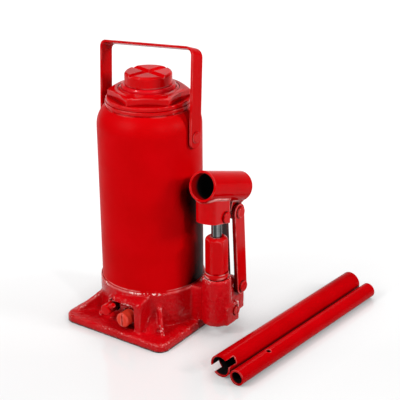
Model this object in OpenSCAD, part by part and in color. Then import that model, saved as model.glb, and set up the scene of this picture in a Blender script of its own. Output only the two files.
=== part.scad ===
// Hydraulic bottle jack with a side pump, a carry strap and two loose handle tubes.
// Millimetres, +Z up. The origin is on the floor under the ram. +X is the pump side
// and -Y the front, where the valves are and where the handle goes into its socket.

/* [Base] */
// Width of the foot plate, across the jack
plate_w = 135; // [132:1:138]
// Length of the foot plate, front to back
plate_l = 151; // [150:1:156]
// Thickness of the foot plate
plate_t = 9.5; // [8.5:0.5:10]
// Corner radius of the foot plate
plate_r = 12; // [8:1:16]
// Radius of the round hub that the tank stands on
hub_r = 57.5; // [57:0.5:59]
// Height of the hub
hub_h = 50; // [49:0.5:51]
// Height of the corner ribs where they leave the hub
rib_h = 32; // [26:1:38]
// Thickness of the corner ribs
rib_t = 7; // [5:0.5:9]

/* [Tank and top nut] */
// Outer radius of the oil tank
tank_r = 55; // [54:0.5:56]
// Wall of the oil tank
tank_wall = 3.5; // [3:0.5:4]
// Straight height of the tank above the hub
tank_h = 170; // [168:1:174]
// Height of the rounded tank shoulder
shoulder_h = 21; // [19:1:22]
// Radius of the tank where the top nut sits on it
neck_r = 45.5; // [44:0.5:46]
// Height of the nut's round flange
flange_h = 8.6; // [8:0.2:9]
// Width across the flats of the nut
nut_af = 74; // [72:0.5:75]
// Height of the nut's hexagon
nut_h = 8.4; // [8:0.2:9]

/* [Ram and saddle] */
// Radius of the ram
ram_r = 28.25; // [27:0.25:28.5]
// How far the lowered ram stands above the nut
ram_show = 4.7; // [4:0.1:6]
// Radius of the saddle
saddle_r = 24.7; // [22:0.1:25]
// Height of the saddle
saddle_h = 12; // [10:0.5:13]
// Depth of the cross grooves in the saddle
groove_d = 2.4; // [1:0.2:3]

/* [Pump] */
// Distance of the pump from the ram
pump_x = 84; // [83:0.5:86]
// Height of the cast pump boss
boss_h = 66; // [65:0.5:66.5]
// Width across the flats of the pump cylinder
pump_af = 22; // [21:0.5:23]
// Height of the pump cylinder's top
pump_top = 112; // [110:0.5:112]
// Radius of the plunger
plunger_r = 5.6; // [5.4:0.1:6.4]

/* [Handle socket] */
// Outer radius of the socket tube
socket_r = 16; // [15.5:0.5:16.5]
// Wall of the socket tube
socket_wall = 2.5; // [2:0.1:2.5]
// Length of the socket tube
socket_len = 72; // [68:1:76]
// Upward tilt of the socket's mouth at rest, in degrees
lever_tilt = 18.7; // [17:0.1:20]
// Height of the plunger pin at rest
pin_z = 136.4; // [135:0.2:138]
// Distance of the plunger pin below the socket's axis
pin_drop = 30; // [29.5:0.1:31]

/* [Carry strap] */
// Width of the strap
strap_w = 17; // [15:0.5:18]
// Thickness of the strap
strap_t = 2.5; // [2:0.1:3]
// Height of the strap's rivets
pivot_z = 216; // [214:0.5:217]
// Distance from the rivets to the outside of the grip
strap_reach = 87.5; // [86:0.5:90]
// Backward lean of the strap at rest, in degrees
strap_lean = 3; // [3:0.5:6]
// Slope of the grip, which is bent a little out of square, in degrees
grip_slope = 5; // [0:0.5:6]
// Backward roll of the flat grip, in degrees
grip_roll = 18; // [12:1:20]

/* [Handle tubes] */
// Outer radius of the tube with the slotted end
slotted_r = 12; // [11.8:0.1:12.5]
// Length of the tube with the slotted end
slotted_len = 236; // [200:1:300]
// Outer radius of the plain tube
plain_r = 8.4; // [8:0.1:8.8]
// Length of the plain tube
plain_len = 240; // [200:1:300]
// Wall of both tubes
tube_wall = 1.8; // [1.6:0.1:2.4]
// How far the tubes lie turned from front to back, in degrees
tube_turn = 4.6; // [0:0.1:8]

/* [Hidden] */
$fn = 96;
paint = "#c8050c";
cast_paint = "#b8060c";
steel = "#b4b6ba";
dark_steel = "#6c6e72";
copper = "#b87444";
rubber = "#2a2a2c";
// Clearances: pieces of one body, running fits, and bodies that only pass each other
seat = 0.02;
run = 0.05;
clear = 0.4;
eps = 0.1;

// Heights up the ram's axis
tank_z = hub_h;
shoulder_z = tank_z + tank_h;
neck_z = shoulder_z + shoulder_h;
gasket_t = 1;
nut_z = neck_z + gasket_t;
hex_z = nut_z + flange_h;
nut_top = hex_z + nut_h;
ram_top = nut_top + ram_show;
saddle_z = ram_top + 0.3;
saddle_top = saddle_z + saddle_h;

// The pressure cylinder stands in a round seat in the hub and carries the nut's thread
bore_r = 30;
cylinder_r = 36;
cylinder_seat_z = 30;
washer_t = 1.5;
cylinder_z = cylinder_seat_z + washer_t;
cylinder_top = nut_z + 5;
nut_skirt_r = 40;
nut_skirt = 9;
ram_z = cylinder_seat_z + clear;
ram_spigot_r = 17;
ram_spigot_h = 14;
saddle_pin_r = 14;
saddle_pin_h = 26;
wiper_r = 32;
wiper_t = 4;

// The tank's gasket lies in a groove in the top of the hub
groove_in = 51.2;
groove_out = 55.4;
gasket_seat = 2;

// Pump bores, from the plunger down to the oil gallery that a plug closes at the side
boss_z = 10.5;
boss_r = 16.4;
boss_round = 7;
pump_spigot_r = 11;
pump_seat_z = 42;
pump_flange_r = 12.8;
pump_flange_t = 4;
pump_washer_t = 2;
pump_hex_z = boss_h + pump_washer_t + pump_flange_t;
packing_z = 96;
packing_h = 6;
packing_r = 8.6;
chamber_r = 5;
gallery_y = 11;
gallery_z = 25;
gallery_r = 2.5;
riser = 22;
riser_r = 2;
chamber_z = gallery_z + gallery_r + 2;
check_r = 4.5;
check_x = 72;
// Valve balls, and how far a ball's centre stands off the mouth of the hole it closes
ball_r = 4;
ball_rise = sqrt(ball_r * ball_r - gallery_r * gallery_r) + seat;
pad_x = 102;
pad_y = [-6, 17.5];
pad_z = 12;
pad_top = 34.5;
gallery_plug_r = 5;
gallery_plug_l = 9;
neck_half = 9;
neck_top = hub_h + 0.5;

// Lever pins in the plane of the pump, as [y, z]
link_top = [24.7, 133.2];
link_foot = [30.5, 44.5];
link_pin_r = 4.5;
link_r = 9;
link_half = 8.7;
link_in = 8;
link_out = 12.6;
lug_half = link_in - clear;
lug_r = 9;
head_r = 6.3;
head_t = 2.6;
plunger_pin_r = 4;
plunger_head_r = 6;
eye_r = 9.8;
eye_half = 6.8;
// Free play of the plunger pin in its slotted eye, along the lever and upward
eye_play = [1.7, 0.5];
plunger_z = 60;
yoke_half = 11.5;
yoke_t = 3.5;
yoke_nose = -16.4;
yoke_rear = 8;
yoke_drop = 7;
yoke_cut = 15;
lug_front = 14;
socket_front = -36.7;
// A point of the pump's plane as the tilted lever sees it, from the plunger pin
function to_lever(p) = let (y = p[0], z = p[1] - pin_z)
    [y * cos(lever_tilt) - z * sin(lever_tilt), y * sin(lever_tilt) + z * cos(lever_tilt)];
lug_pin = to_lever(link_top);

// Valves at the front: the block's hood, the release valve and the safety valve
block_x = [-6, 32];
block_front = -66;
block_top = 43.5;
block_back = [-46, 47.6];
pocket_x = [-7, 22];
pocket_z = [0, 37];
valve_face = -56;
release_x = -9;
release_z = 29;
release_r = 6;
release_back = -41;
release_boss_r = 10.5;
release_end = -74;
cross_y = -70;
cross_r = 2.6;
cross_half = 12;
cross_turn = -40;
safety_x = 10.5;
safety_z = 21;
safety_r = 8;
safety_face = -70;
safety_thread_r = 7;
safety_thread = 10;
spring_r = 4.4;
spring_wire = 0.8;
spring_turns = 5;
spring_bore_r = 5.5;
spring_back = -26;

// Strap, rivets and filler plug
strap_in = 56.6;
strap_out = strap_in + strap_t;
strap_bend = 8;
strap_foot = 12;
rivet_r = 4;
rivet_head_r = 6.5;
rivet_head_t = 2;
rivet_tail_r = 5.5;
strap_washer_r = 7;
filler_turn = 118;
filler_z = 205;
filler_r = 6;
filler_head_r = 8.5;

// Loose tubes on the floor, the slotted one nearer the jack
tube_at = [139.5, -75];
notch_w = 7.4;
notch_l = 12;
notch_turn = 58;
plain_lead = 2.8;
tube_gap = 2.8;
tube_spacing = 2 * sqrt(slotted_r * plain_r) + tube_gap;
button_at = 51;
button_turn = 8;
button_r = 2.6;

module ring(ro, ri, h) {
    rotate_extrude() translate([ri, 0]) square([ro - ri, h]);
}

// A rod along +X from x0 to x1, or along +Y from y0 to y1
module rod_x(r, x0, x1) {
    translate([x0, 0, 0]) rotate([0, 90, 0]) cylinder(r = r, h = x1 - x0);
}

module rod_y(r, y0, y1) {
    translate([0, y0, 0]) rotate([-90, 0, 0]) cylinder(r = r, h = y1 - y0);
}

// A flat shape drawn in the YZ plane, given a thickness from x0 to x1
module plate_x(x0, x1) {
    translate([x0, 0, 0]) rotate([90, 0, 90]) linear_extrude(x1 - x0) children();
}

// A round-headed pin along X, headed at both ends
module headed_pin(r, half, hr, ht) {
    chamfer = ht / 3;
    rotate([0, 90, 0]) rotate_extrude() polygon([
        [0, -half - ht], [hr - chamfer, -half - ht], [hr, -half - ht + chamfer], [hr, -half],
        [r, -half], [r, half], [hr, half], [hr, half + ht - chamfer], [hr - chamfer, half + ht],
        [0, half + ht]]);
}

module at_pump() translate([pump_x, 0, 0]) children();

// The tilted frame of the lever: +Y runs back along the socket, its zero is the plunger pin
module on_lever() translate([pump_x, 0, pin_z]) rotate([-lever_tilt, 0, 0]) children();

module foot_plate() {
    soft = 1.2;
    hull() for (sx = [-1, 1], sy = [-1, 1])
        translate([sx * (plate_w / 2 - plate_r), sy * (plate_l / 2 - plate_r), 0])
            rotate_extrude($fn = 32) polygon([
                [0, 0], [plate_r, 0], [plate_r, plate_t - 2.5 * soft], [plate_r - soft / 2, plate_t - soft],
                [plate_r - 2 * soft, plate_t], [0, plate_t]]);
}

// One triangular rib from the hub down to the plate
module rib(turn, reach, height, thick) {
    rotate([0, 0, turn]) rotate([90, 0, 0]) linear_extrude(thick, center = true)
        polygon([[hub_r - 6, plate_t / 2], [reach, plate_t / 2], [reach, plate_t - 1],
                 [hub_r - 1, height], [hub_r - 6, height]]);
}

// Ribs to the corners. The one beside the valve block is short and steep, with a web at its foot
module corner_ribs() {
    corner = 46.5;
    reach = norm([plate_w / 2, plate_l / 2]) - plate_r;
    steep_h = rib_h + 5;
    steep_t = rib_t - 2;
    steep_in = 9;
    web_turn = corner + 9;
    web_h = rib_h - 2;
    web_t = 2 * steep_t + 2;
    for (turn = [corner, 180 - corner, 180 + corner]) rib(turn, reach, rib_h, rib_t);
    rib(-corner, reach - steep_in, steep_h, steep_t);
    rib(-web_turn, reach - 2 * steep_in, web_h, web_t);
}

// Block at the front with a sloping roof and a deep pocket that shelters the valves
module valve_block() {
    difference() {
        plate_x(block_x[0], block_x[1]) polygon([
            [-40, plate_t / 2], [block_front, plate_t / 2], [block_front, block_top - 3],
            [block_front + 2.4, block_top], [block_back[0], block_back[1]], [-40, block_back[1]]]);
        translate([pocket_x[0], block_front - 1, pocket_z[0]])
            cube([pocket_x[1] - pocket_x[0], valve_face - block_front + 1, pocket_z[1] - pocket_z[0]]);
    }
    translate([release_x, 0, release_z]) rod_y(release_boss_r, valve_face - 1.5, -40);
    foot = release_boss_r - 0.8;
    plate_x(release_x - foot, release_x + foot)
        polygon([[-40, plate_t / 2], [valve_face, plate_t / 2], [valve_face, release_z], [-40, release_z]]);
}

// Neck, round pump boss, drilled pad and the lug that holds the links
module pump_side() {
    translate([groove_in + 1, -neck_half, boss_z])
        cube([pump_x - groove_in - 1, 2 * neck_half, neck_top - boss_z]);
    at_pump() rotate_extrude() polygon([
        [0, boss_z], [boss_r - boss_round + 1, boss_z], [boss_r, boss_z + boss_round / 3],
        [boss_r + 1, boss_z + boss_round], [boss_r - 0.4, boss_h - 2], [boss_r - 2, boss_h], [0, boss_h]]);
    plate_x(pump_x, pad_x) translate([pad_y[0], pad_z])
        square([pad_y[1] - pad_y[0], pad_top - pad_z]);
    lug_base = 12;
    lug_rear = 43;
    plate_x(pump_x - lug_half, pump_x + lug_half) {
        translate(link_foot) circle(lug_r);
        polygon([[0, lug_base], [lug_rear, lug_base], [lug_rear, 30], [link_foot[0] + lug_r - 0.7, link_foot[1]],
                 [link_foot[0] - lug_r + 0.7, link_foot[1]], [10, 54], [0, 54]]);
    }
}

module base_casting() {
    color(cast_paint) difference() {
        union() {
            foot_plate();
            rotate_extrude()
                polygon([[0, 0], [hub_r, 0], [hub_r, hub_h - 1.5], [hub_r - 1.5, hub_h], [0, hub_h]]);
            corner_ribs();
            valve_block();
            pump_side();
        }
        // Tank groove and cylinder seat
        translate([0, 0, hub_h - gasket_seat]) ring(groove_out, groove_in, gasket_seat + 1);
        translate([0, 0, cylinder_seat_z]) cylinder(r = cylinder_r + seat, h = hub_h);
        // Pump: seat, valve chamber, gallery and riser
        at_pump() translate([0, 0, pump_seat_z]) cylinder(r = pump_spigot_r + seat, h = boss_h);
        at_pump() translate([0, 0, chamber_z]) cylinder(r = chamber_r, h = boss_h);
        at_pump() translate([0, 0, gallery_z - 2 * riser_r]) cylinder(r = gallery_r, h = boss_h);
        at_pump() translate([0, 0, gallery_z]) rod_y(riser_r, 0, gallery_y);
        translate([0, gallery_y, gallery_z]) {
            rod_x(gallery_r, riser - 2 * riser_r, pad_x);
            rod_x(check_r, check_x, pad_x);
            rod_x(gallery_plug_r + seat, pad_x - gallery_plug_l, pad_x + 1);
        }
        translate([riser, gallery_y, gallery_z]) cylinder(r = riser_r, h = cylinder_seat_z);
        // Valve bores with their risers, and the hole for the lower link pin
        translate([release_x, 0, release_z]) {
            rod_y(release_r, block_front, release_back);
            rod_y(gallery_r, release_back - 1, 2 * riser_r - riser);
            translate([0, -riser, 0]) cylinder(r = riser_r, h = cylinder_seat_z);
        }
        translate([safety_x, 0, safety_z]) {
            rod_y(safety_r + clear, block_front - 1, valve_face + seat);
            rod_y(safety_thread_r + seat, valve_face - 1, valve_face + safety_thread);
            rod_y(spring_bore_r, valve_face, spring_back);
            rod_y(gallery_r, spring_back - 1, 2 * riser_r - riser);
            translate([0, -riser, 0]) cylinder(r = riser_r, h = cylinder_seat_z);
        }
        translate([pump_x, link_foot[0], link_foot[1]]) rod_x(link_pin_r + run, -2 * link_out, 2 * link_out);
    }
}

// Outline of the tank, straight below and drawn in to the neck by one arc
module tank_outline(inset) {
    rise = shoulder_h;
    draw = tank_r - neck_r;
    arc_r = (draw * draw + rise * rise) / (2 * draw);
    translate([0, tank_z]) square([tank_r - inset, tank_h]);
    intersection() {
        translate([tank_r - arc_r, shoulder_z]) circle(arc_r - inset);
        translate([0, shoulder_z]) square([tank_r, rise - inset]);
    }
}

module tank() {
    color(paint) difference() {
        rotate_extrude() difference() {
            tank_outline(0);
            tank_outline(tank_wall);
            translate([0, tank_z - 1]) square([tank_r - tank_wall, tank_wall]);
            square([nut_skirt_r + seat, neck_z + 1]);
        }
        translate([0, 0, pivot_z]) rod_x(rivet_r + seat, -tank_r - 1, tank_r + 1);
        at_filler() rod_x(filler_r + seat, -2 * tank_wall, tank_wall);
    }
}

module lower_gasket() {
    color(rubber) translate([0, 0, hub_h - gasket_seat]) ring(groove_out - seat, groove_in + seat, gasket_seat);
}

module upper_gasket() {
    color(rubber) translate([0, 0, neck_z]) ring(neck_r - 1, nut_skirt_r + 2 * seat, gasket_t);
}

module pressure_cylinder() {
    color(dark_steel) translate([0, 0, cylinder_z]) ring(cylinder_r, bore_r, cylinder_top - cylinder_z);
}

module cylinder_washer() {
    color(copper) translate([0, 0, cylinder_seat_z]) ring(cylinder_r - 0.5, bore_r + 0.5, washer_t);
}

// Flange nut: two stepped rings, a chamfered hexagon and a threaded skirt inside the tank
module top_nut() {
    ring_h = flange_h / 2;
    chamfer = 2.2;
    corner_r = nut_af / 2 / cos(30);
    flat_turn = -24.7;
    color(paint) difference() {
        union() {
            translate([0, 0, nut_z - gasket_t - nut_skirt]) cylinder(r = nut_skirt_r, h = nut_skirt + gasket_t);
            translate([0, 0, nut_z]) rotate_extrude() polygon([
                [0, 0], [neck_r - 0.6, 0], [neck_r, 0.8], [neck_r, ring_h - 0.4], [neck_r - 1.4, ring_h],
                [neck_r - 1, ring_h + 0.5], [neck_r - 1, flange_h - 1], [neck_r - 2, flange_h], [0, flange_h]]);
            intersection() {
                translate([0, 0, hex_z]) rotate([0, 0, flat_turn]) cylinder(r = corner_r, h = nut_h, $fn = 6);
                translate([0, 0, hex_z]) rotate_extrude() polygon([
                    [0, 0], [corner_r, 0], [corner_r, nut_h - 2.6], [nut_af / 2 - chamfer, nut_h], [0, nut_h]]);
            }
        }
        translate([0, 0, nut_z - 2 * nut_skirt])
            cylinder(r = cylinder_r + seat, h = cylinder_top - nut_z + 2 * nut_skirt);
        translate([0, 0, nut_z]) cylinder(r = ram_r + run, h = nut_top);
        translate([0, 0, nut_top - wiper_t]) cylinder(r = wiper_r + seat, h = 2 * wiper_t);
    }
}

module ram_wiper() {
    lip = 1;
    color(rubber) translate([0, 0, nut_top - wiper_t]) rotate_extrude() polygon([
        [ram_r + run, 0], [wiper_r, 0], [wiper_r, wiper_t], [ram_r + 2.5, wiper_t],
        [ram_r + run, wiper_t + lip]]);
}

module ram() {
    edge = 1.2;
    color(paint) translate([0, 0, ram_z]) difference() {
        rotate_extrude() polygon([
            [0, 0], [ram_spigot_r, 0], [ram_spigot_r, ram_spigot_h], [ram_r, ram_spigot_h],
            [ram_r, ram_top - ram_z - edge], [ram_r - edge, ram_top - ram_z], [0, ram_top - ram_z]]);
        translate([0, 0, ram_top - ram_z - saddle_pin_h - 2]) cylinder(r = saddle_pin_r, h = ram_top);
    }
}

// Cup seal on the ram's spigot, its lip open toward the oil below
module ram_cup() {
    cup_h = 10;
    web = 4;
    lip_t = 3;
    color(rubber) translate([0, 0, ram_z + ram_spigot_h - cup_h]) rotate_extrude() difference() {
        translate([ram_spigot_r + seat, 0]) square([bore_r - run - ram_spigot_r - seat, cup_h - seat]);
        translate([ram_spigot_r, -1]) square([bore_r - run - lip_t - ram_spigot_r, cup_h - web + 1]);
    }
}

module cup_nut() {
    nut_r = 24;
    color(dark_steel) translate([0, 0, ram_z]) difference() {
        cylinder(r = nut_r, h = 6, $fn = 6);
        translate([0, 0, -1]) cylinder(r = ram_spigot_r + seat, h = 8);
    }
}

// Saddle with a rounded rim and two V grooves that cross on its top
module saddle() {
    rim = 3;
    groove_w = 4.2;
    color(paint) difference() {
        union() {
            translate([0, 0, saddle_z]) rotate_extrude() {
                square([saddle_r, saddle_h - rim]);
                square([saddle_r - rim, saddle_h]);
                translate([saddle_r - rim, saddle_h - rim]) intersection() {
                    circle(rim);
                    square(rim);
                }
            }
            translate([0, 0, ram_top - saddle_pin_h]) cylinder(r = saddle_pin_r - run, h = saddle_pin_h + 1);
        }
        for (turn = [-14, 76]) rotate([0, 0, turn]) translate([0, 0, saddle_top]) rotate([90, 0, 90])
            linear_extrude(3 * saddle_r, center = true)
                polygon([[-groove_w, eps], [0, -groove_d], [groove_w, eps]]);
    }
}

// Hexagonal pump cylinder with a round flange, a threaded foot and a domed top
module pump_cylinder() {
    corner_r = pump_af / 2 / cos(30);
    dome = 5;
    flat_turn = -24.7;
    color(paint) at_pump() difference() {
        union() {
            translate([0, 0, pump_seat_z]) cylinder(r = pump_spigot_r, h = pump_hex_z - pump_seat_z);
            translate([0, 0, boss_h + pump_washer_t]) cylinder(r = pump_flange_r, h = pump_flange_t);
            intersection() {
                translate([0, 0, pump_hex_z - eps]) rotate([0, 0, flat_turn])
                    cylinder(r = corner_r, h = pump_top - pump_hex_z + eps, $fn = 6);
                translate([0, 0, pump_hex_z - eps]) rotate_extrude() {
                    square([corner_r - 0.6, pump_top - pump_hex_z - dome]);
                    square([corner_r - dome, pump_top - pump_hex_z + eps]);
                    translate([corner_r - 0.6 - dome, pump_top - pump_hex_z - dome + eps]) circle(dome);
                }
            }
        }
        translate([0, 0, pump_seat_z - 1]) cylinder(r = plunger_r + run, h = pump_top);
        translate([0, 0, packing_z]) cylinder(r = packing_r + seat, h = packing_h);
    }
}

module pump_washer() {
    color(copper) at_pump() translate([0, 0, boss_h])
        ring(pump_flange_r - clear, pump_spigot_r + seat, pump_washer_t);
}

module pump_packing() {
    color(rubber) at_pump() translate([0, 0, packing_z]) ring(packing_r, plunger_r + run, packing_h);
}

// Plunger with a round eye at the top, slotted for the pin that drives it
module plunger() {
    slot_r = plunger_pin_r + eye_play[1];
    color(steel) at_pump() difference() {
        union() {
            translate([0, 0, plunger_z]) cylinder(r = plunger_r, h = pin_z - plunger_z);
            translate([0, 0, pin_z]) rod_x(eye_r, -eye_half, eye_half);
        }
        translate([0, 0, pin_z]) plate_x(-eye_half - 1, eye_half + 1) {
            for (s = [-1, 1]) translate([s * (eye_play[0] - eye_play[1]), 0]) circle(slot_r);
            square([2 * (eye_play[0] - eye_play[1]), 2 * slot_r], center = true);
        }
    }
}

module handle_socket() {
    color(paint) on_lever() translate([0, 0, pin_drop]) difference() {
        rod_y(socket_r, socket_front, socket_front + socket_len);
        rod_y(socket_r - socket_wall, socket_front - 1, socket_front + socket_len + 1);
    }
}

// Space of the socket tube, cut from what is welded under it
module socket_cut() {
    translate([0, 0, pin_drop]) rod_y(socket_r + seat, -2 * socket_len, 2 * socket_len);
}

// Strap bent to a U round the plunger's eye, its bend toward the handle
module socket_yoke() {
    module bend(half, back) {
        translate([0, yoke_nose]) circle(half);
        translate([-half, yoke_nose]) square([2 * half, back - yoke_nose]);
    }
    color(paint) difference() {
        translate([pump_x, 0, pin_z - pin_drop]) linear_extrude(2 * pin_drop) difference() {
            bend(yoke_half, yoke_rear);
            bend(yoke_half - yoke_t, yoke_rear + 1);
        }
        on_lever() socket_cut();
        on_lever() translate([-pin_drop, -2 * pin_drop, pin_drop])
            cube([2 * pin_drop, 4 * pin_drop, pin_drop]);
        translate([pump_x, 0, pin_z]) {
            rotate([-yoke_cut, 0, 0]) translate([-pin_drop, -2 * pin_drop, -yoke_drop - 2 * pin_drop])
                cube([2 * pin_drop, 4 * pin_drop, 2 * pin_drop]);
            rod_x(plunger_pin_r + seat, -2 * yoke_half, 2 * yoke_half);
        }
    }
}

// Lug welded under the back of the socket, between the two links
module socket_lug() {
    color(paint) on_lever() difference() {
        plate_x(-lug_half, lug_half) {
            translate(lug_pin) circle(lug_r);
            translate([lug_front, lug_pin[1]])
                square([lug_pin[0] + lug_r - lug_front, pin_drop - socket_r / 2 - lug_pin[1]]);
        }
        socket_cut();
        translate([0, lug_pin[0], lug_pin[1]]) rod_x(link_pin_r + run, -2 * link_out, 2 * link_out);
    }
}

module plunger_pin() {
    color(cast_paint) on_lever() headed_pin(plunger_pin_r, yoke_half + seat, plunger_head_r, head_t);
}

// One of the two straps that tie the socket's lug to the base
module link(side) {
    span = link_top - link_foot;
    color(paint) at_pump() plate_x(side > 0 ? link_in : -link_out, side > 0 ? link_out : -link_in) difference() {
        union() {
            translate(link_foot) circle(link_r);
            translate(link_top) circle(link_r);
            translate(link_foot) rotate(atan2(span[1], span[0])) translate([0, -link_half])
                square([norm(span), 2 * link_half]);
        }
        translate(link_foot) circle(link_pin_r + seat);
        translate(link_top) circle(link_pin_r + seat);
    }
}

module link_right() link(1);

module link_left() link(-1);

module link_pin(at) {
    color(cast_paint) translate([pump_x, at[0], at[1]]) headed_pin(link_pin_r, link_out + seat, head_r, head_t);
}

module link_pin_upper() link_pin(link_top);

module link_pin_lower() link_pin(link_foot);

// Needle of the release valve, with a drilled end for its cross pin
module release_valve() {
    tip = release_back - ball_rise - ball_r - clear;
    tip_r = 2;
    color(paint) translate([release_x, 0, release_z]) difference() {
        rotate([-90, 0, 0]) rotate_extrude() polygon([
            [0, release_end], [release_r - 1, release_end], [release_r - run, release_end + 1],
            [release_r - run, tip - tip_r], [tip_r, tip], [0, tip]]);
        translate([0, cross_y, 0]) rotate([0, cross_turn, 0])
            rod_x(cross_r + seat, -2 * cross_half, 2 * cross_half);
    }
}

module release_cross_pin() {
    color(paint) translate([release_x, cross_y, release_z]) rotate([0, cross_turn, 0])
        rod_x(cross_r, -cross_half, cross_half);
}

module release_ball() {
    color(steel) translate([release_x, release_back - ball_rise, release_z]) sphere(ball_r);
}

// Screwed cap of the overload valve, with a slot across its round face
module safety_plug() {
    edge = 1.2;
    slot_w = 1.8;
    slot_d = 1.4;
    color("#d8301c") translate([safety_x, 0, safety_z]) difference() {
        rotate([-90, 0, 0]) rotate_extrude() polygon([
            [0, safety_face], [safety_r - edge, safety_face], [safety_r, safety_face + edge],
            [safety_r, valve_face - seat], [safety_thread_r, valve_face - seat],
            [safety_thread_r, valve_face + safety_thread - 1], [0, valve_face + safety_thread - 1]]);
        translate([-slot_w / 2, safety_face - 1, -safety_r]) cube([slot_w, slot_d + 1, 2 * safety_r]);
    }
}

// Point on the safety spring's helix, t from 0 to 1
spring_y = [valve_face + safety_thread - 1 + seat, spring_back - ball_rise - ball_r - seat];
function spring_point(t, a) = let (turn = 360 * spring_turns * t, r = spring_r - spring_wire * (1 - cos(a)))
    [r * cos(turn), spring_y[0] + spring_wire * (1 + sin(a)) + (spring_y[1] - spring_y[0] - 2 * spring_wire) * t,
     r * sin(turn)];

module safety_spring() {
    rings = 14 * spring_turns;
    sides = 6;
    points = [for (i = [0 : rings], k = [0 : sides - 1]) spring_point(i / rings, 360 * k / sides)];
    walls = [for (i = [0 : rings - 1], k = [0 : sides - 1])
        let (a = i * sides + k, b = i * sides + (k + 1) % sides) [a, a + sides, b + sides, b]];
    ends = [[for (k = [0 : sides - 1]) k], [for (k = [sides - 1 : -1 : 0]) rings * sides + k]];
    color(steel) translate([safety_x, 0, safety_z]) polyhedron(points, concat(walls, ends), convexity = 8);
}

module safety_ball() {
    color(steel) translate([safety_x, spring_back - ball_rise, safety_z]) sphere(ball_r);
}

module suction_ball() {
    color(steel) at_pump() translate([0, 0, chamber_z + ball_rise]) sphere(ball_r);
}

module delivery_ball() {
    color(steel) translate([check_x + ball_rise, gallery_y, gallery_z]) sphere(ball_r);
}

// Slotted screw that closes the drilled gallery in the pump's pad
module gallery_plug() {
    edge = 0.6;
    slot_w = 1.4;
    color(cast_paint) translate([pad_x, gallery_y, gallery_z]) difference() {
        rotate([0, 90, 0]) rotate_extrude() polygon([
            [0, -gallery_plug_l], [gallery_plug_r, -gallery_plug_l], [gallery_plug_r, edge],
            [gallery_plug_r - edge, 2 * edge], [0, 2 * edge]]);
        translate([0, -slot_w / 2, -gallery_plug_r]) cube([3, slot_w, 2 * gallery_plug_r]);
    }
}

module at_filler() rotate([0, 0, filler_turn]) translate([tank_r, 0, filler_z]) children();

// Push-in oil plug on the far side of the tank, barbed inside the wall
module filler_plug() {
    barb = 1;
    color(rubber) at_filler() rotate([0, 90, 0]) rotate_extrude() polygon([
        [0, -tank_wall - 5], [filler_r - 1, -tank_wall - 5], [filler_r + barb, -tank_wall - 1.5],
        [filler_r + barb, -tank_wall - 1], [filler_r, -tank_wall - 1], [filler_r, seat],
        [filler_head_r, seat], [filler_head_r, 2], [filler_head_r - 1.5, 3.4], [0, 3.4]]);
}

// Front of the bail with its sloping grip and two round bends, filled down to its foot
module bail(half, reach, bend, foot) {
    corner = half - bend;
    lean = [bend * sin(grip_slope), bend * cos(grip_slope)];
    function bend_z(x) = reach + x * tan(grip_slope) - bend / cos(grip_slope);
    polygon([[-half, foot], [half, foot], [half, bend_z(corner)],
             [corner - lean[0], bend_z(corner) + lean[1]], [-corner - lean[0], bend_z(-corner) + lean[1]],
             [-half, bend_z(-corner)]]);
    for (x = [-corner, corner]) translate([x, bend_z(x)]) circle(bend);
}

// Flat strap bent to a bail, round at both feet, turning on two rivets. Its grip is rolled back
module carry_strap() {
    reach = strap_reach * cos(grip_roll);
    color(paint) translate([0, 0, pivot_z]) rotate([-strap_lean, 0, 0]) difference() {
        intersection() {
            rotate([90 - grip_roll, 0, 0]) linear_extrude(6 * strap_w, center = true) difference() {
                bail(strap_out, reach, strap_bend, -2 * strap_foot);
                bail(strap_in, reach - strap_t / cos(grip_slope), strap_bend - strap_t, -3 * strap_foot);
            }
            plate_x(-strap_out - 1, strap_out + 1) {
                translate([0, strap_w / 2 - strap_foot]) circle(strap_w / 2);
                translate([-strap_w / 2, strap_w / 2 - strap_foot])
                    square([strap_w, strap_reach + 2 * strap_foot]);
            }
        }
        rod_x(rivet_r + run, -strap_out - 1, strap_out + 1);
    }
}

module both_sides() for (side = [0, 180]) rotate([0, 0, side]) children();

// Shouldered rivets in the tank wall, their round heads outside the strap
module strap_rivets() {
    tail = tank_r - tank_wall - 1;
    color(cast_paint) both_sides() translate([0, 0, pivot_z]) rotate([0, 90, 0]) rotate_extrude() polygon([
        [0, tail - 2], [rivet_tail_r, tail - 2], [rivet_tail_r, tail], [rivet_r, tail],
        [rivet_r, strap_out + clear / 2], [rivet_head_r, strap_out + clear / 2],
        [rivet_head_r - 1.5, strap_out + clear / 2 + rivet_head_t], [0, strap_out + clear / 2 + rivet_head_t]]);
}

module strap_washers() {
    color(cast_paint) both_sides() translate([tank_r + seat, 0, pivot_z]) difference() {
        rod_x(strap_washer_r, 0, strap_in - clear / 2 - tank_r - seat);
        rod_x(rivet_r + seat, -1, strap_in);
    }
}

// A tube lying on the floor, its near end at the given place across the row
module lying_tube(r, length, across, lead) {
    translate([tube_at[0], tube_at[1], 0]) rotate([0, 0, -tube_turn]) translate([across, -lead, r]) difference() {
        rod_y(r, 0, length);
        rod_y(r - tube_wall, -1, length + 1);
        children();
    }
}

// The slotted end turns the release valve by its cross pin
module handle_tube_slotted() {
    color(paint) lying_tube(slotted_r, slotted_len, 0, 0)
        rotate([0, notch_turn, 0]) translate([-notch_w / 2, -1, -2 * slotted_r])
            cube([notch_w, notch_l + 1, 4 * slotted_r]);
}

// The plain tube has a small hole for a catch and pushes into the slotted one
module handle_tube_plain() {
    color(paint) lying_tube(plain_r, plain_len, tube_spacing, plain_lead)
        translate([0, button_at, 0]) rotate([0, button_turn, 0]) cylinder(r = button_r, h = 2 * plain_r);
}

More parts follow.
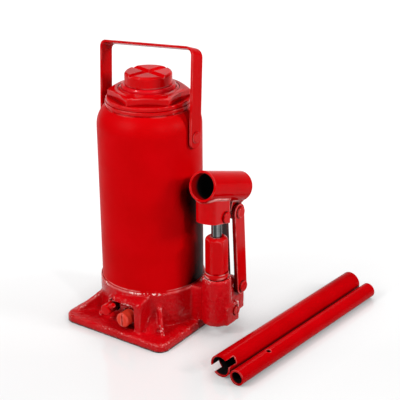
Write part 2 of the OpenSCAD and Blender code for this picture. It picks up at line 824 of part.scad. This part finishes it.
base_casting();
tank();
lower_gasket();
upper_gasket();
pressure_cylinder();
cylinder_washer();
top_nut();
ram_wiper();
ram();
ram_cup();
cup_nut();
saddle();
pump_cylinder();
pump_washer();
pump_packing();
plunger();
handle_socket();
socket_yoke();
socket_lug();
plunger_pin();
link_right();
link_left();
link_pin_upper();
link_pin_lower();
release_valve();
release_cross_pin();
release_ball();
safety_plug();
safety_spring();
safety_ball();
suction_ball();
delivery_ball();
gallery_plug();
filler_plug();
carry_strap();
strap_rivets();
strap_washers();
handle_tube_slotted();
handle_tube_plain();
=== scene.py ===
from math import cos, pi, radians, sin, sqrt

import bpy
from mathutils import Matrix, Vector


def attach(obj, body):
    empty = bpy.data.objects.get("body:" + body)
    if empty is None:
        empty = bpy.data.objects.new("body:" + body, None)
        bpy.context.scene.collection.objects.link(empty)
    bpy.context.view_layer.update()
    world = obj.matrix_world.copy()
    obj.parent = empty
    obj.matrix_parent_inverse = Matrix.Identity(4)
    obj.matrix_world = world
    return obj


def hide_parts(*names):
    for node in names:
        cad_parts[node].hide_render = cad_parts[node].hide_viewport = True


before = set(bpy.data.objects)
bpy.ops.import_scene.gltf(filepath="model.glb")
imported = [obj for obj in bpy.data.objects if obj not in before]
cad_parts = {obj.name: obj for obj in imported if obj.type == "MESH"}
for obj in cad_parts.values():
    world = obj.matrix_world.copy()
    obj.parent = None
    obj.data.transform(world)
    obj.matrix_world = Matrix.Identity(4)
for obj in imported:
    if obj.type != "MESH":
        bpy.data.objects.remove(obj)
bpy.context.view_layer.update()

# Foot of the jack: one iron sand casting with a flat plate, a round hub, corner ribs, a hooded block for
# the valves and a boss for the pump. It is blasted and dipped in glossy red enamel, so its edges are soft
# and its skin keeps the grain of the sand.
scene = bpy.context.scene


def pick(piece):
    """The piece becomes the one selected and active object"""
    bpy.ops.object.select_all(action="DESELECT")
    piece.select_set(True)
    bpy.context.view_layer.objects.active = piece


def merged_copy(node, name):
    """A copy of a solid with its loose triangles merged, as the one selected object"""
    piece = bpy.data.objects.new(name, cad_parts[node].data.copy())
    scene.collection.objects.link(piece)
    pick(piece)
    bpy.ops.object.mode_set(mode="EDIT")
    bpy.ops.mesh.select_all(action="SELECT")
    bpy.ops.mesh.customdata_custom_splitnormals_clear()
    bpy.ops.mesh.remove_doubles(threshold=0.000002)
    bpy.ops.object.mode_set(mode="OBJECT")
    return piece


def apply(piece, kind, **settings):
    """A modifier with these settings, applied at once"""
    modifier = piece.modifiers.new(kind.lower(), kind)
    for setting, value in settings.items():
        setattr(modifier, setting, value)
    bpy.context.view_layer.objects.active = piece
    bpy.ops.object.modifier_apply(modifier=modifier.name)


def fit(piece, body, slot, finish, *nodes):
    """The piece gets its finish, moves with its body and stands for its solids"""
    piece.data.materials.clear()
    piece.data.materials.append(finish)
    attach(piece, body)
    if nodes:
        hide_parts(*nodes)


class Nodes:
    """A tree of shader nodes, with the kinds of node that the finishes, the table and the room need"""

    def __init__(self, tree):
        self.tree = tree

    def add(self, kind, **settings):
        node = self.tree.nodes.new("ShaderNode" + kind)
        for setting, value in settings.items():
            setattr(node, setting, value)
        return node

    def feed(self, value, socket):
        """The socket reads another socket, or holds a number, vector or colour of its own"""
        if hasattr(value, "links"):
            self.tree.links.new(value, socket)
        else:
            socket.default_value = value

    def spread(self, source, low, high, to_low=0.0, to_high=1.0):
        """The source between low and high, spread over a new range"""
        span = self.add("MapRange")
        ends = {"Value": source, "From Min": low, "From Max": high, "To Min": to_low, "To Max": to_high}
        for socket, value in ends.items():
            self.feed(value, span.inputs[socket])
        return span.outputs["Result"]

    def join(self, operation, first, second):
        """Two sockets, or a socket and a number, put together as the Math node does"""
        node = self.add("Math", operation=operation)
        self.feed(first, node.inputs[0])
        self.feed(second, node.inputs[1])
        return node.outputs["Value"]

    def project(self, place, direction):
        """How far a place lies in a direction"""
        dot = self.add("VectorMath", operation="DOT_PRODUCT")
        self.feed(place, dot.inputs[0])
        self.feed(direction, dot.inputs[1])
        return dot.outputs["Value"]

    def occlusion(self, reach, inside=False):
        """How free a place is of other surfaces, outside or inside the piece, within a reach in mm"""
        shade = self.add("AmbientOcclusion", samples=8, inside=inside)
        self.feed(reach / 1000, shade.inputs["Distance"])
        return shade.outputs["AO"]


class Finish(Nodes):
    """A material whose patterns all read Object coordinates"""

    def __init__(self, name, roughness, specular=0.5, metallic=0.0):
        self.material = bpy.data.materials.new(name)
        self.material.use_nodes = True
        super().__init__(self.material.node_tree)
        self.shader = self.tree.nodes["Principled BSDF"]
        self.place = self.add("TexCoord").outputs["Object"]
        self.wire(roughness, "Roughness")
        self.wire(specular, "Specular IOR Level")
        self.wire(metallic, "Metallic")

    def wire(self, value, socket):
        self.feed(value, self.shader.inputs[socket])

    def wired(self, socket):
        """What the shader's socket reads so far"""
        return self.shader.inputs[socket].links[0].from_socket

    def noise(self, scale, detail=3.0, stretch=(1, 1, 1)):
        mapping = self.add("Mapping")
        self.feed(self.place, mapping.inputs["Vector"])
        self.feed(stretch, mapping.inputs["Scale"])
        noise = self.add("TexNoise")
        self.feed(mapping.outputs["Vector"], noise.inputs["Vector"])
        self.feed(scale, noise.inputs["Scale"])
        self.feed(detail, noise.inputs["Detail"])
        return noise.outputs["Fac"]

    def blend(self, share, first, second):
        """Two colours, or sockets of colours, mixed by a share"""
        mix = self.add("Mix", data_type="RGBA")
        self.feed(share, mix.inputs["Factor"])
        for colour, socket in ((first, mix.inputs[6]), (second, mix.inputs[7])):
            self.feed(colour if hasattr(colour, "links") else (*colour, 1), socket)
        return mix.outputs[2]

    def bump(self, *layers):
        """Relief from pairs of a pattern and its depth in mm"""
        normal = None
        for pattern, depth in layers:
            bump = self.add("Bump")
            self.feed(1.0, bump.inputs["Strength"])
            self.feed(depth / 1000, bump.inputs["Distance"])
            self.feed(pattern, bump.inputs["Height"])
            if normal:
                self.feed(normal, bump.inputs["Normal"])
            normal = bump.outputs["Normal"]
        self.wire(normal, "Normal")

    def height(self):
        return self.project(self.place, (0, 0, 1))

    def open_air(self, reach, tight, free):
        """How open a place is within a reach in mm, from 0 in a tight corner to 1 where it is free"""
        return self.spread(self.occlusion(reach), tight, free)

    def edge(self, reach, full, share):
        """How near an outer edge a place is within a reach in mm, up to a share where it is full"""
        flat = 0.93
        return self.spread(self.occlusion(reach, inside=True), full, flat, share, 0.0)


def enamel(name, bright, deep, relief, gloss=(0.1, 0.18), specular=0.08, corners=(5, 0.3, 0.75),
           dark=(0.04, 0.0, 0.001), edges=(1.5, 0.6, 0.8), below=None):
    """Enamel over relief given as scale and depth in mm. It is deeper in pools, pale at the edges as wear and
    painted highlight, and painted dark as shade in the corners, everywhere or only below a height given as
    two ends of the change"""
    wear_and_highlight_tone = (0.92, 0.42, 0.4)
    finish = Finish(name, 0.2, specular)
    # Painted shade: the dark colour is blended into corners by how closed in a place is.
    air = finish.open_air(*corners)
    if below:
        air = finish.join("MAXIMUM", air, finish.spread(finish.height(), *below))
    pools = finish.spread(finish.noise(24.0, 4.0), 0.35, 0.68)
    # Wear and painted highlight: a pale tone is blended onto outer edges in patches.
    wear_and_highlight_patches = finish.spread(finish.noise(70.0, 2.0), 0.42, 0.62)
    edge_wear_and_highlight = finish.join("MULTIPLY", finish.edge(*edges), wear_and_highlight_patches)
    paint = finish.blend(edge_wear_and_highlight, finish.blend(pools, bright, deep), wear_and_highlight_tone)
    finish.wire(finish.blend(air, dark, paint), "Base Color")
    finish.wire(finish.spread(finish.noise(60.0, 5.0), 0.3, 0.75, *gloss), "Roughness")
    finish.bump(*((finish.noise(scale, 3.0), depth) for scale, depth in relief))
    return finish


# The casting's enamel is painted dark as shade in its corners and pale at its edges as wear and painted
# highlight.
cast_skin = enamel("cast_enamel", bright=(0.56, 0.0005, 0.004), deep=(0.44, 0.0, 0.002),
                   relief=((160, 1.0), (380, 0.5), (900, 0.1)), gloss=(0.1, 0.2), specular=0.12,
                   corners=(6, 0.3, 0.75), edges=(2.5, 0.7, 0.3))
# The pink flecks are grain in the paint; the near-white tone is painted glints in patches on the crests.
fleck_tone, glint_tone = (0.85, 0.2, 0.18), (0.98, 0.78, 0.74)
flecks = cast_skin.spread(cast_skin.noise(560, 2.0), 0.56, 0.72, 0.0, 0.05)
speckled = cast_skin.blend(flecks, cast_skin.wired("Base Color"), fleck_tone)
glint_specks = cast_skin.spread(cast_skin.noise(480, 1.0), 0.54, 0.62)
glint_patches = cast_skin.spread(cast_skin.noise(48, 2.0), 0.46, 0.58)
glint_crests = cast_skin.edge(2.6, 0.72, 1.0)
painted_glints = cast_skin.join("MULTIPLY", cast_skin.join("MULTIPLY", glint_specks, glint_patches), glint_crests)
cast_skin.wire(cast_skin.blend(painted_glints, speckled, glint_tone), "Base Color")

base = merged_copy("base_casting", "cast_base")
apply(base, "REMESH", mode="VOXEL", voxel_size=0.00115)
apply(base, "SMOOTH", factor=0.5, iterations=8)
inward = 0.95
for name, grain, relief in (("sand_waves", 0.011, 0.0005), ("sand_grain", 0.0045, 0.0006)):
    sand = bpy.data.textures.new(name, "CLOUDS")
    sand.noise_scale = grain
    sand.noise_depth = 2
    apply(base, "DISPLACE", texture=sand, texture_coords="LOCAL", strength=relief, mid_level=inward)
machined = 0.0012
bpy.ops.object.mode_set(mode="EDIT")
bpy.ops.mesh.select_all(action="DESELECT")
bpy.ops.mesh.select_mode(type="VERT")
bpy.ops.object.mode_set(mode="OBJECT")
for vertex in base.data.vertices:
    vertex.select = vertex.co.z < machined
bpy.ops.object.mode_set(mode="EDIT")
bpy.ops.transform.resize(value=(1, 1, 0), center_override=(0, 0, 0))
bpy.ops.object.mode_set(mode="OBJECT")
bpy.ops.object.shade_smooth()
fit(base, "base", "cast_paint", cast_skin.material, "base_casting")

# Oil tank: drawn steel tube with its top spun in to a rounded shoulder, held down on the hub by the nut over
# two gaskets. The sheet is wavy and its enamel dull. The jack is sprayed when it is put together, so the
# gaskets' edges are red too. The tank's colour is painted near-black as shade behind the pump, below the
# socket.


def softened(node, name, edge):
    """A copy of a solid with its sharp edges rounded off, crisp on its flats and smooth on its curves"""
    flat_turn, sharp_turn = radians(0.5), radians(30)
    piece = merged_copy(node, name)
    bpy.ops.object.mode_set(mode="EDIT")
    bpy.ops.mesh.select_all(action="SELECT")
    bpy.ops.mesh.dissolve_limited(angle_limit=flat_turn)
    bpy.ops.object.mode_set(mode="OBJECT")
    apply(piece, "BEVEL", width=edge / 1000, segments=3, limit_method="ANGLE", angle_limit=sharp_turn,
          miter_outer="MITER_ARC", use_clamp_overlap=True)
    pick(piece)
    bpy.ops.object.shade_smooth_by_angle(angle=sharp_turn)
    apply(piece, "WEIGHTED_NORMAL", keep_sharp=True)
    return piece


def dress(node, name, edge, body, finish, slot="red_paint"):
    """A solid's place is taken by its copy with edges softened by some mm, in its finish"""
    fit(softened(node, name, edge), body, slot, finish.material, node)


# Painted shadow: the tank's colour goes near-black in the hollow behind the pump, only below the socket's
# height.
tank_enamel = enamel("tank_enamel", bright=(0.6, 0.0, 0.002), deep=(0.54, 0.0, 0.001),
                     relief=((45, 0.25), (420, 0.02)), gloss=(0.36, 0.48), specular=0.025,
                     corners=(40, 0.55, 0.68), dark=(0.01, 0.0, 0.0), below=(0.16, 0.175))
dress("tank", "tank_shell", 0.8, "base", tank_enamel)
red, deep_red = (0.62, 0.0, 0.002), (0.53, 0.0, 0.001)
coat_waves = ((45, 0.25), (420, 0.03))
# The gaskets' colour is painted darker as shade in their corners and pale at their edges as wear and painted
# highlight.
gasket_enamel = enamel("gasket_enamel", red, deep_red, coat_waves, corners=(2, 0.1, 0.6),
                       dark=(0.34, 0.0, 0.001), edges=(1.0, 0.6, 0.2))
dress("lower_gasket", "foot_gasket", 0.2, "base", gasket_enamel)
dress("upper_gasket", "neck_gasket", 0.2, "base", gasket_enamel)

# Top nut, ram and saddle: the nut is a turned flange with a forged hexagon and a wiper ring in its top, the
# ram is a ground steel bar that only got paint on its rim, and the saddle is a turned disc with two crossed
# grooves that swivels in the ram.
# The nut's and wiper's enamel is painted dark as shade in its corners and pale at its edges as wear and
# painted highlight.
nut_corners, nut_dark, nut_edges = (10, 0.35, 0.78), (0.03, 0.0, 0.0), (1.6, 0.6, 0.3)
nut_enamel = enamel("nut_enamel", red, deep_red, coat_waves, gloss=(0.06, 0.12), specular=0.1,
                    corners=nut_corners, dark=nut_dark, edges=nut_edges)
dress("top_nut", "flange_nut", 1.6, "base", nut_enamel)
thick_enamel = enamel("thick_enamel", red, deep_red, coat_waves, gloss=(0.08, 0.14), specular=0.2,
                      corners=nut_corners, dark=nut_dark, edges=nut_edges)
dress("ram_wiper", "wiper_ring", 2.0, "base", thick_enamel)
# This enamel is painted dark as shade in its corners and pale at its edges as wear and painted highlight.
red_enamel = enamel("red_enamel", red, deep_red, coat_waves, edges=(1.5, 0.6, 0.3))
dress("saddle", "grooved_saddle", 0.7, "saddle", red_enamel)

ground_ram = Finish("ground_ram", roughness=0.2, specular=0.3)
paint_line, rim_red = (0.2586, 0.2590), (0.62, 0.001, 0.006)
rim = ground_ram.spread(ground_ram.height(), *paint_line)
steel_tone = ground_ram.spread(ground_ram.noise(90, 4.0, (1, 1, 0.05)), 0.3, 0.7)
bare = ground_ram.blend(steel_tone, (0.5, 0.5, 0.52), (0.62, 0.62, 0.63))
ground_ram.wire(ground_ram.blend(rim, bare, rim_red), "Base Color")
ground_ram.wire(ground_ram.spread(ground_ram.height(), *paint_line, 1.0, 0.0), "Metallic")
ground_ram.bump((ground_ram.noise(900, 2.0, (1, 1, 0.04)), 0.01))
dress("ram", "ram_bar", 0.5, "ram", ground_ram, "ground_steel")

# Pump: a steel cylinder milled from hexagon bar with a domed top, screwed into the boss over a copper washer
# that is painted over, and a bright ground plunger with a forged eye.
# This enamel is painted dark as shade far into the corners round the pump, and pale at its edges as wear and
# painted highlight.
pump_enamel = enamel("pump_enamel", red, deep_red, coat_waves, corners=(16, 0.38, 0.8),
                     dark=(0.02, 0.0, 0.0))
dress("pump_cylinder", "pump_barrel", 0.5, "base", pump_enamel)
dress("pump_washer", "barrel_washer", 0.3, "base", pump_enamel)

plunger_steel = Finish("plunger_steel", roughness=0.18, metallic=1.0)
# The steel's colour has dark vertical streaks at random.
streak_tone = (0.045, 0.05, 0.05)
rings = plunger_steel.noise(1.0, 3.0, (60, 60, 1500))
dark_streaks = plunger_steel.spread(plunger_steel.noise(240, 2.0, (1, 1, 0.02)), 0.42, 0.6)
ground = plunger_steel.blend(plunger_steel.spread(rings, 0.3, 0.7), (0.36, 0.38, 0.39), (0.56, 0.58, 0.59))
plunger_steel.wire(plunger_steel.blend(dark_streaks, streak_tone, ground), "Base Color")
plunger_steel.wire(plunger_steel.spread(rings, 0.3, 0.7, 0.12, 0.26), "Roughness")
plunger_steel.bump((rings, 0.01))
dress("plunger", "pump_plunger", 0.4, "plunger", plunger_steel, "ground_steel")

# Lever: a length of steel tube with a strap bent to a U and a thick lug welded under it. Two flat links and
# three headed pins tie it to the base and to the plunger. The spray only reached a little way into the tube;
# further in the bore is near-black, partly from mill scale and partly as painted shade. The inner link's
# enamel is painted dark as shade where the parts around it crowd it.
pump_x, pin_z, tilt = 0.084, 0.1364, radians(18.7)
tube_drop, tube_r, tube_front = 0.030, 0.016, -0.0367


def sprayed_tube(name, bright, deep, mouth, turn, bore, spray):
    """Enamel on a tube with this mouth and turn, whose bore is bare past the reach of the spray"""
    wall, dull = (bore + 0.0002, bore + 0.0006), 0.9
    finish = enamel(name, bright, deep, coat_waves, specular=0.025, edges=(1.0, 0.6, 0.3))
    lay = finish.add("Mapping", vector_type="TEXTURE")
    finish.feed(finish.place, lay.inputs["Vector"])
    finish.feed(mouth, lay.inputs["Location"])
    finish.feed(turn, lay.inputs["Rotation"])
    across = finish.add("VectorMath", operation="MULTIPLY")
    finish.feed(lay.outputs["Vector"], across.inputs[0])
    finish.feed((1, 0, 1), across.inputs[1])
    radius = finish.add("VectorMath", operation="LENGTH")
    finish.feed(across.outputs["Vector"], radius.inputs[0])
    outside = finish.spread(radius.outputs["Value"], *wall)
    depth = finish.project(lay.outputs["Vector"], (0, 1, 0))
    painted = finish.join("MAXIMUM", outside, finish.spread(depth, 0.5 * spray, spray, 1.0, 0.0))
    # Past the spray's reach the bore is near-black, partly from mill scale and partly as painted shade deep
    # in the tube.
    scale_and_painted_shade = finish.blend(finish.noise(160), (0.004, 0.003, 0.003), (0.014, 0.011, 0.011))
    finish.wire(finish.blend(painted, scale_and_painted_shade, finish.wired("Base Color")), "Base Color")
    finish.wire(finish.spread(painted, 0.0, 1.0, dull, finish.wired("Roughness")), "Roughness")
    return finish


socket_mouth = Vector((pump_x, tube_front * cos(tilt) + tube_drop * sin(tilt),
                       pin_z - tube_front * sin(tilt) + tube_drop * cos(tilt)))
socket_enamel = sprayed_tube("socket_enamel", red, deep_red, socket_mouth, turn=(-tilt, 0, 0), bore=0.0135,
                             spray=0.012)
dress("handle_socket", "socket_tube", 0.6, "socket", socket_enamel)
for node, name, edge in (("socket_yoke", "bent_yoke", 0.6), ("socket_lug", "welded_lug", 0.6),
                         ("plunger_pin", "eye_pin", 0.4)):
    dress(node, name, edge, "socket", pump_enamel)
for node, name, edge in (("link_right", "right_link", 0.7), ("link_pin_upper", "upper_pin", 0.4),
                         ("link_pin_lower", "lower_pin", 0.4)):
    dress(node, name, edge, "links", pump_enamel)
# Painted shade: this copy of the link enamel goes dark wherever other parts crowd the inner link.
shaded_link_enamel = enamel("shaded_link_enamel", red, deep_red, coat_waves, corners=(40, 0.55, 0.9),
                           dark=(0.02, 0.003, 0.003), edges=(1.0, 0.6, 0.2))
dress("link_left", "left_link", 0.7, "links", shaded_link_enamel)

# Welds under the socket: one bead round the outside of the bent yoke and one round the lug, laid by hand and
# painted over, so each shows the ripples of its puddles.


def under_tube(x, y):
    """The place on the tilted tube's underside above a point of the pump's plan"""
    below = tube_drop - sqrt(tube_r**2 - x**2)
    return Vector((pump_x + x, y, pin_z + (below - y * sin(tilt)) / cos(tilt)))


def beside_lug(x, along_tube):
    """The place on the tube's underside at a distance along the tube"""
    below = tube_drop - sqrt(tube_r**2 - x**2)
    return under_tube(x, along_tube * cos(tilt) + below * sin(tilt))


def along(corners):
    """Places for the puddles along a row of corners"""
    step, row = 0.0006, []
    for first, last in zip(corners, corners[1:]):
        count = max(1, round((Vector(last) - Vector(first)).length / step))
        row += [Vector(first).lerp(Vector(last), k / count) for k in range(count)]
    return row + [Vector(corners[-1])]


def weld_bead(name, path, size, closed):
    """A rippled bead along a row of places"""
    swell, beat = 0.16, 2.2
    curve = bpy.data.curves.new(name, "CURVE")
    curve.dimensions = "3D"
    curve.bevel_depth = size
    curve.bevel_resolution = 3
    curve.use_fill_caps = not closed
    line = curve.splines.new("POLY")
    line.use_cyclic_u = closed
    line.points.add(len(path) - 1)
    for count, (point, place) in enumerate(zip(line.points, path)):
        point.co = (*place, 1)
        point.radius = 1 + swell * sin(beat * count)
    bead = bpy.data.objects.new(name, curve)
    scene.collection.objects.link(bead)
    pick(bead)
    bpy.ops.object.convert(target="MESH")
    bpy.ops.object.shade_smooth()
    return bpy.context.object


yoke_half, yoke_nose, yoke_rear = 0.0117, -0.0164, 0.0076
nose_turns = [pi * k / 48 for k in range(49)]
nose = [(yoke_half * cos(turn), yoke_nose - yoke_half * sin(turn)) for turn in nose_turns]
yoke_plan = along([(yoke_half, yoke_rear), *nose, (-yoke_half, yoke_rear)])
yoke_weld = weld_bead("yoke_weld", [under_tube(*point) for point in yoke_plan], size=0.0013, closed=False)
lug_half, lug_front, lug_rear = 0.0077, 0.0140, 0.0334
lug_plan = along([(lug_half, lug_front), (lug_half, lug_rear), (-lug_half, lug_rear), (-lug_half, lug_front),
                  (lug_half, lug_front)])[:-1]
lug_weld = weld_bead("lug_weld", [beside_lug(*point) for point in lug_plan], size=0.0011, closed=True)
for bead in (yoke_weld, lug_weld):
    fit(bead, "socket", "red_paint", pump_enamel.material)

# Valves and plugs: the release needle with its cross pin, the slotted cap of the overload valve, the slotted
# screw in the pump's pad, all turned steel under the paint, and a rubber oil plug.
dress("release_valve", "release_needle", 0.4, "release_valve", pump_enamel)
dress("release_cross_pin", "cross_pin", 0.6, "release_valve", pump_enamel)
# The caps and the pad screw are painted darker as shade in their slots and corners.
plug_waves, plug_corners = ((120, 0.2), (600, 0.05)), (1.5, 0.1, 0.8)
orange_enamel = enamel("orange_enamel", bright=(0.82, 0.06, 0.03), deep=(0.66, 0.03, 0.015),
                       relief=plug_waves, corners=plug_corners, dark=(0.5, 0.02, 0.01))
dress("safety_plug", "overload_cap", 0.4, "base", orange_enamel, "orange_paint")
thin_red, thin_deep_red = (0.6, 0.0, 0.002), (0.52, 0.0, 0.001)
pad_enamel = enamel("pad_enamel", thin_red, thin_deep_red, plug_waves, corners=plug_corners,
                    dark=(0.2, 0.0, 0.001))
dress("gallery_plug", "pad_screw", 0.3, "base", pad_enamel)

black_rubber = Finish("black_rubber", roughness=0.6, specular=0.4)
rubber_tone = black_rubber.blend(black_rubber.noise(140), (0.012, 0.012, 0.013), (0.03, 0.03, 0.032))
black_rubber.wire(rubber_tone, "Base Color")
black_rubber.bump((black_rubber.noise(900), 0.05))
dress("filler_plug", "oil_plug", 0.4, "base", black_rubber, "rubber")

# Carry strap: flat steel strip bent to a square bail, riveted loosely to the tank over two spacers. Its
# enamel is thin and less glossy than that of the nut.
# The strip's, rivet heads' and spacers' enamel is painted dark as shade in corners and pale at edges as wear
# and painted highlight.
strip_enamel = enamel("strip_enamel", thin_red, thin_deep_red, coat_waves, gloss=(0.2, 0.3), specular=0.03,
                      edges=(1.2, 0.6, 0.2))
dress("carry_strap", "strap_bail", 0.5, "carry_strap", strip_enamel)
dress("strap_rivets", "rivet_heads", 0.5, "base", red_enamel)
dress("strap_washers", "rivet_spacers", 0.2, "base", red_enamel)

# Handle: two steel tubes, painted on the outside; inside they are near-black, partly from mill scale and
# partly as painted shade. The slotted end of the first turns the release valve, the second pushes into it.
# They lie side by side on the table.
tube_lie = (0, 0, radians(-4.6))
tube_red, tube_deep_red = (0.5, 0.0, 0.002), (0.42, 0.0, 0.001)
for node, name, mouth, bore in (
        ("handle_tube_slotted", "slotted_tube", (0.1395, -0.075, 0.012), 0.0102),
        ("handle_tube_plain", "plain_tube", (0.16208, -0.07963, 0.0084), 0.0066)):
    tube_enamel = sprayed_tube(name + "_enamel", tube_red, tube_deep_red, mouth, tube_lie, bore, spray=0.002)
    dress(node, name + "_skin", 0.4, name, tube_enamel)

# Pieces inside the jack: honed cylinder, valve balls, spring and nut of steel, a soft copper washer under the
# cylinder, and seals of black rubber.


def coat(finish, *nodes):
    """A finish for solids that show as they are"""
    for node in nodes:
        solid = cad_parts[node]
        if not solid.material_slots:
            solid.data.materials.append(finish.material)
        for slot in solid.material_slots:
            slot.material = finish.material


inner_steel = Finish("inner_steel", roughness=0.25, metallic=1.0)
inner_tone = inner_steel.blend(inner_steel.noise(260), (0.42, 0.43, 0.45), (0.6, 0.6, 0.62))
inner_steel.wire(inner_tone, "Base Color")
inner_steel.bump((inner_steel.noise(1200), 0.01))
coat(inner_steel, "pressure_cylinder", "cup_nut", "release_ball", "safety_spring", "safety_ball",
     "suction_ball", "delivery_ball")
soft_copper = Finish("soft_copper", roughness=0.35, metallic=1.0)
copper_tone = soft_copper.blend(soft_copper.noise(180), (0.52, 0.2, 0.09), (0.66, 0.3, 0.16))
soft_copper.wire(copper_tone, "Base Color")
soft_copper.bump((soft_copper.noise(800), 0.02))
coat(soft_copper, "cylinder_washer")
coat(black_rubber, "ram_cup", "pump_packing")

# Table: a white board that runs on behind the jack, where it is brighter. Its top is smooth, so it shows the
# jack's soft shadow and a faint reflection, and its glow is painted darker near the jack as shadow where the
# two touch.
bpy.ops.object.select_all(action="DESELECT")
bpy.ops.mesh.primitive_plane_add(size=12, location=(0, 0, 0))
table = bpy.context.object
table.name = "table"


def seen_rays(nodes):
    """Camera rays, and rays by way of a mirror or glass, as two sockets"""
    path = nodes.add("LightPath")
    mirror = nodes.join("MAXIMUM", path.outputs["Is Glossy Ray"], path.outputs["Is Transmission Ray"])
    return path.outputs["Is Camera Ray"], mirror


white = (1, 1, 1, 1)
table_white = Finish("table_white", roughness=0.12, specular=0.9)
table_white.wire((0.38, 0.38, 0.38, 1), "Base Color")
table_white.wire(white, "Emission Color")
behind = table_white.project(table_white.place, (-0.58, 0.81, 0))
brightness = table_white.spread(behind, -0.1, 0.2, 0.5, 0.68)
# Painted shadow: the glow is dimmed near the jack by how closed in the table is there.
clear = table_white.spread(table_white.occlusion(50), 0.3, 1.0, 0.35, 1.0)
seen = table_white.join("MAXIMUM", *seen_rays(table_white))
shown = table_white.join("MULTIPLY", brightness, clear)
table_white.wire(table_white.join("MULTIPLY", seen, shown), "Emission Strength")
table.data.materials.append(table_white.material)

# Light: a soft box from the left of the camera, one from the right that the pump stands in front of, a large
# one from behind, small spots that draw the edges, and a dim room with a white backdrop low behind the jack.
scene.view_settings.view_transform = "Standard"
room = bpy.data.worlds.new("room")
room.use_nodes = True
scene.world = room
walls = Nodes(room.node_tree)
camera_ray, mirror_ray = seen_rays(walls)
facing = walls.project(walls.add("TexCoord").outputs["Generated"], (-0.58, 0.81, -0.5))
backdrop = walls.join("MULTIPLY", walls.spread(facing, 0.35, 0.85), mirror_ray)
dim = 0.15
level = walls.join("MAXIMUM", backdrop, dim)
background = room.node_tree.nodes["Background"]
walls.feed(walls.join("MAXIMUM", camera_ray, level), background.inputs["Strength"])
walls.feed(white, background.inputs["Color"])

middle = Vector((0.04, 0.0, 0.12))
for name, place, size, power in (("left_box", (-0.5, -1.5, 1.2), 0.6, 19.0),
                                 ("right_box", (1.5, 0.4, 0.85), 0.3, 13.0),
                                 ("back_box", (-0.5, 0.9, 1.4), 0.9, 6.0),
                                 ("left_spot", (-0.55, -1.4, 1.25), 0.08, 7.0),
                                 ("front_spot", (1.4, -0.65, 1.1), 0.12, 9.0),
                                 ("upper_left_spot", (-0.45, -0.47, 1.45), 0.08, 1.2),
                                 ("upper_right_spot", (0.65, 0.25, 1.45), 0.08, 2.2)):
    lamp = bpy.data.lights.new(name, "AREA")
    lamp.size = size
    lamp.energy = power
    stand = bpy.data.objects.new(name, lamp)
    scene.collection.objects.link(stand)
    stand.location = place
    stand.rotation_euler = (middle - Vector(place)).to_track_quat("-Z", "Y").to_euler()

# Camera: the photograph's viewing angle, with a long lens a little above the jack. It looks past the side of
# the tank, so that the handle tubes are in the frame, and leans a little.
turn, climb, lean = radians(35.30), radians(23.46), radians(-0.5)
aim, aside, distance = Vector((0, 0, 0.13183)), 0.05172, 1.302
across = Vector((cos(turn), sin(turn), 0))
back = Vector((sin(turn) * cos(climb), -cos(turn) * cos(climb), sin(climb)))
up = back.cross(across)
right = cos(lean) * across + sin(lean) * up
upright = cos(lean) * up - sin(lean) * across
lens = bpy.data.cameras.new("camera")
lens.lens = 109.75
lens.sensor_width = 36
camera = bpy.data.objects.new("camera", lens)
scene.collection.objects.link(camera)
camera.matrix_world = Matrix((right, upright, back)).transposed().to_4x4()
camera.location = aim + aside * across + distance * back
scene.camera = camera
